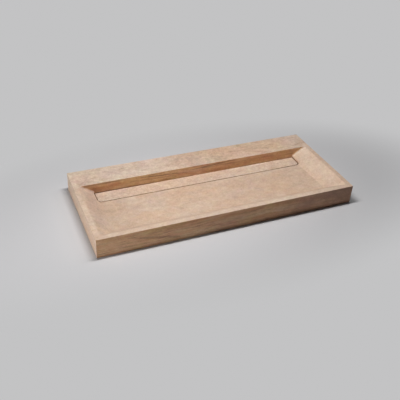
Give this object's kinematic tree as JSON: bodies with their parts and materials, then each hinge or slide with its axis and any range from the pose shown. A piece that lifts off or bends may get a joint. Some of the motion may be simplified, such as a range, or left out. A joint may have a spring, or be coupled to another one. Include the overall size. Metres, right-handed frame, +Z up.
{
  "type": "travertine washbasin",
  "caption": "Long rectangular travertine washbasin cut from one slab, with a mitred hopper bowl, a rear deck and a linear drain under a lift-off stone cover.",
  "frame": {"origin": "middle of the flat underside, on the surface that the basin rests on", "axes": "+X along the length, to the right of a person standing at the basin; +Y towards the wall; +Z up, out of the bowl"},
  "size_m": [1.205, 0.515, 0.09],
  "materials": {
    "travertine": "honed",
    "cover_travertine": "honed",
    "foot_rubber": "matte"
  },
  "bodies": {
    "basin": {"basin": "travertine"},
    "cover": {"drain_cover": "cover_travertine", "cover_foot_1": "foot_rubber", "cover_foot_2": "foot_rubber", "cover_foot_3": "foot_rubber", "cover_foot_4": "foot_rubber", "cover_foot_5": "foot_rubber", "cover_foot_6": "foot_rubber", "cover_foot_7": "foot_rubber", "cover_foot_8": "foot_rubber"}
  },
  "joints": [
    {"name": "cover_lift", "type": "slide", "parent": "basin", "child": "cover", "axis": [0, 0, 1], "range_m": [0, 0.12]}
  ]
}
